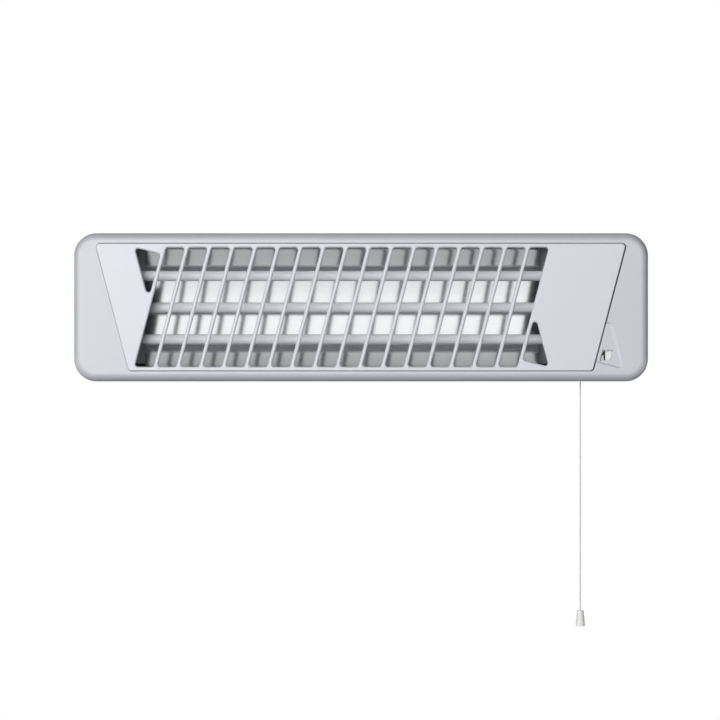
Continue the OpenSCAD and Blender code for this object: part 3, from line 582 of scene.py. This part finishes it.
# ---------------------------------------------------------------- tubes, caps and coils
TUBE_Y = -95 * MM
TUBE_ZS = {"top": 33.4 * MM, "middle": 0.0, "bottom": -33.4 * MM}
TUBE_R, TUBE_WALL, TUBE_HALF = 5.35 * MM, 1.1 * MM, 228.3 * MM
tube_body = turned(soft_profile([(TUBE_R, -TUBE_HALF), (TUBE_R, TUBE_HALF),
                                 (TUBE_R - TUBE_WALL, TUBE_HALF),
                                 (TUBE_R - TUBE_WALL, -TUBE_HALF)], 0.35 * MM), 64)
for level, z in TUBE_ZS.items():
    at = Matrix.Translation((TROUGH_MID, TUBE_Y, z)) @ AXIS_X
    piece("milky_tube_" + level, gather([(tube_body, at)]), "quartz_tube_" + level, sharp=60,
          weighted=False)

CAP_START = 222.3 * MM
cap_points = [(0, 16), (8, 16), (8, 5), (10.5, 5), (10.5, 2), (8, 2), (8, 0), (5.45, 0), (5.45, 6),
              (0, 6)]
cap_body = turned(soft_profile([(r * MM, h * MM) for r, h in cap_points], 0.5 * MM), 48)
caps = []
for side in (-1, 1):
    for z in TUBE_ZS.values():
        at = Matrix.Translation((TROUGH_MID, TUBE_Y, z)) @ Matrix.Scale(side, 4, (1, 0, 0))
        caps.append((cap_body, at @ Matrix.Translation((CAP_START, 0, 0)) @ AXIS_X))
piece("end_caps", gather(caps), "ceramic_caps", sharp=60)

COIL_R, COIL_WIRE, COIL_PITCH, COIL_STEPS = 2.5 * MM, 0.35 * MM, 2.2 * MM, 10
COIL_HALF = 228.2 * MM
coil = bpy.data.curves.new("wound_coils", "CURVE")
coil.dimensions = "3D"
coil.bevel_depth = COIL_WIRE
coil.bevel_resolution = 1
for z in TUBE_ZS.values():
    turns = 2 * COIL_HALF / COIL_PITCH
    count = int(turns * COIL_STEPS)
    wound = coil.splines.new("POLY")
    wound.points.add(count)
    for i, point in enumerate(wound.points):
        t = 2 * math.pi * i / COIL_STEPS
        radius = COIL_R - COIL_WIRE
        point.co = (TROUGH_MID - COIL_HALF + 2 * COIL_HALF * i / count,
                    TUBE_Y + radius * math.cos(t), z + radius * math.sin(t), 1)
place(bpy.data.objects.new("wound_coils", coil), "heating_coils")

# ---------------------------------------------------------------- the rest: edges rounded
ROUNDED = {
    "wall_bracket": ("wall_plate", 0.5, 3), "swivel_yoke": ("tilting_yoke", 0.5, 3),
    "pivot_bolts": ("hex_bolts", 0.35, 2), "pivot_washers": ("plain_washers", 0.15, 2),
    "pivot_nuts": ("hex_nuts", 0.3, 2), "yoke_screws": ("yoke_pan_screws", 0.25, 2),
    "case_screws": ("case_pan_screws", 0.25, 2), "indicator_lens": ("window_pane", 0.15, 2),
    "indicator_disc": ("number_disc", 0.2, 2), "switch_spindle": ("spindle_rod", 0.3, 2),
    "switch_lever": ("pull_lever", 0.25, 2), "switch_body": ("switch_case", 0.6, 3),
    "switch_terminals": ("pole_tags", 0.3, 2), "reflector_stays": ("trough_stays", 0.2, 2),
    "tube_carriers": ("cap_carriers", 0.2, 2), "cap_clips": ("spring_rings", 0.2, 2),
    "tube_studs": ("end_studs", 0.25, 2), "stud_nuts": ("small_nuts", 0.25, 2),
    "link_strip": ("joining_strip", 0.15, 2), "terminal_block": ("mains_block", 0.5, 3),
    "cable_gland": ("back_gland", 0.4, 2), "gland_locknut": ("gland_nut", 0.3, 2),
    "cord_bush": ("outlet_bush", 0.4, 3), "inner_cord": ("upper_cord", 0.2, 2),
}
for node, (name, radius, segments) in ROUNDED.items():
    dress(name, node, radius * MM, segments, dial_plastic_painted_light if node == "indicator_disc" else None)

shown = [n for n, o in frame["nodes"].items() if not o.hide_render]
for node in shown:
    # These show as they are, with their slot's finish
    for material_slot in frame["nodes"][node].material_slots:
        material_slot.material = FINISHES[SLOTS[node]]

# ---------------------------------------------------------------- studio
FLOOR_Z = -600 * MM
FLOOR_HALF = 8.0
AIM = Vector((0, FRONT, 0))
FILL_FROM = Vector((-0.34, -0.94, 0.04)).normalized()


def mix_by_ray(tree, kinds, base, seen):
    """Shows seen to the named kinds of ray, and base to all the others."""
    path = add(tree, "LightPath")
    share = path.outputs[kinds[0]]
    for kind in kinds[1:]:
        share = add(tree, "Math", {0: share, 1: path.outputs[kind]}, operation="MAXIMUM").outputs[0]
    return add(tree, "MixShader", {0: share, 1: base, 2: seen}).outputs[0]


world = bpy.data.worlds.new("studio")
scene.world = world
world.use_nodes = True
tree = world.node_tree
tree.nodes.clear()
direction = add(tree, "TexCoord").outputs["Generated"]
heading = add(tree, "SeparateXYZ", {0: direction})
# Matt surfaces: bright from the front, less so from behind, dim from the sides
from_front = add(tree, "VectorMath", {0: direction, 1: FILL_FROM}, operation="DOT_PRODUCT")
front = add(tree, "MapRange", {"Value": from_front.outputs["Value"], "From Min": 0.55,
                               "From Max": 1.0, "To Min": 0.07, "To Max": 1.35})
back = add(tree, "MapRange", {"Value": heading.outputs[1], "From Min": 0.3, "From Max": 0.9,
                              "To Min": 0.0, "To Max": 0.8})
both = add(tree, "Math", {0: front.outputs[0], 1: back.outputs[0]})
fill = add(tree, "Background", {0: srgb("#ffffff"), 1: both.outputs[0]}).outputs[0]
white = add(tree, "Background", {0: srgb("#ffffff"), 1: 1.0}).outputs[0]
# Glossy surfaces: how bright is what they mirror. Each row is an axis, the two values of the
# heading along it between which the brightness changes, and its level at each of them
MIRRORED = [
    (2, 0.22, 0.37, 1.0, 0.42, "SMOOTHSTEP"),    # above
    (2, 0.40, 0.75, 1.0, 0.25, "LINEAR"),        # overhead
    (0, 0.30, 0.95, 1.0, 0.05, "SMOOTHSTEP"),    # right
    (0, -0.97, -0.70, 0.12, 1.0, "SMOOTHSTEP"),  # left
    (1, -0.3, 0.5, 1.0, 0.2, "SMOOTHSTEP"),      # behind
]
level = 1.0
for axis, low, high, start, end, shape in MIRRORED:
    dim = add(tree, "MapRange", {"Value": heading.outputs[axis], "From Min": low, "From Max": high,
                                 "To Min": start, "To Max": end}, interpolation_type=shape)
    level = add(tree, "Math", {0: level, 1: dim.outputs[0]}, operation="MULTIPLY").outputs[0]
rear = add(tree, "MapRange", {"Value": heading.outputs[1], "From Min": 0.6, "From Max": 0.95,
                              "To Min": 0.0, "To Max": 0.6}, interpolation_type="SMOOTHSTEP")
level = add(tree, "Math", {0: level, 1: rear.outputs[0]})
# What the trough throws back onto matt surfaces carries the soft boxes' light as well
depth = add(tree, "LightPath").outputs["Diffuse Depth"]
thrown = add(tree, "MapRange", {"Value": depth, "To Min": 1.0, "To Max": 1.6})
level = add(tree, "Math", {0: level.outputs[0], 1: thrown.outputs[0]}, operation="MULTIPLY")
mirrored = add(tree, "Background", {0: srgb("#ffffff"), 1: level.outputs[0]}).outputs[0]
seen = mix_by_ray(tree, ["Is Glossy Ray"], fill, mirrored)
seen = mix_by_ray(tree, ["Is Camera Ray", "Is Transmission Ray"], seen, white)
add(tree, "OutputWorld", {0: seen})

bm = bmesh.new()
bmesh.ops.create_grid(bm, x_segments=1, y_segments=1, size=FLOOR_HALF)
bmesh.ops.translate(bm, vec=(0, 0, FLOOR_Z), verts=bm.verts)
mesh = bpy.data.meshes.new("floor")
bm.to_mesh(mesh)
bm.free()
floor = bpy.data.objects.new("floor", mesh)
scene.collection.objects.link(floor)
paint = bpy.data.materials.new("matt_white_floor")
paint.use_nodes = True
tree = paint.node_tree
tree.nodes.clear()
plain = add(tree, "BsdfDiffuse", {0: srgb("#9a9a9e")}).outputs[0]
lit = add(tree, "BsdfDiffuse", {0: srgb("#f6f6f6")}).outputs[0]
lift = add(tree, "Emission", {0: srgb("#ffffff"), 1: 0.35}).outputs[0]
near = add(tree, "AddShader", {0: lit, 1: lift}).outputs[0]
far = add(tree, "Emission", {0: srgb("#ffffff"), 1: 1.0}).outputs[0]
spread = add(tree, "VectorMath", {0: add(tree, "TexCoord").outputs["Object"]}, operation="LENGTH")
fade = add(tree, "MapRange", {"Value": spread.outputs["Value"], "From Min": 0.7, "From Max": 1.1},
           interpolation_type="SMOOTHSTEP")
bright = add(tree, "MixShader", {0: fade.outputs[0], 1: near, 2: far}).outputs[0]
# Painted reflection: to glossy rays the floor glows, brighter far out, and painted shadow dims it
# under the heater
glare = add(tree, "MapRange", {"Value": spread.outputs["Value"], "From Min": 2.0, "From Max": 3.6,
                               "To Min": 0.42, "To Max": 0.88}, interpolation_type="SMOOTHSTEP")
painted_shadow_under = add(tree, "MapRange", {"Value": spread.outputs["Value"], "From Min": 0.6, "From Max": 1.5,
                               "To Min": 0.35, "To Max": 1.0}, interpolation_type="SMOOTHSTEP")
glare = add(tree, "Math", {0: glare.outputs[0], 1: painted_shadow_under.outputs[0]}, operation="MULTIPLY")
sheen = add(tree, "Emission", {0: srgb("#ffffff"), 1: glare.outputs[0]}).outputs[0]
seen = mix_by_ray(tree, ["Is Glossy Ray"], plain, sheen)
seen = mix_by_ray(tree, ["Is Camera Ray", "Is Transmission Ray"], seen, bright)
add(tree, "OutputMaterial", {0: seen})
mesh.materials.append(paint)


def lamp(name, position, width, height, watts):
    """A soft box that faces the heater."""
    data = bpy.data.lights.new(name, "AREA")
    data.shape = "RECTANGLE"
    data.size, data.size_y = width, height
    data.energy = watts
    obj = bpy.data.objects.new(name, data)
    obj.location = position
    obj.rotation_euler = (AIM - Vector(position)).to_track_quat("-Z", "Y").to_euler()
    obj.visible_glossy = False
    scene.collection.objects.link(obj)


lamp("key_soft_box", (-0.95, -2.4, 0.5), 2.0, 2.0, 56)
lamp("back_fill", (0.8, 2.4, 1.2), 1.6, 1.6, 30)
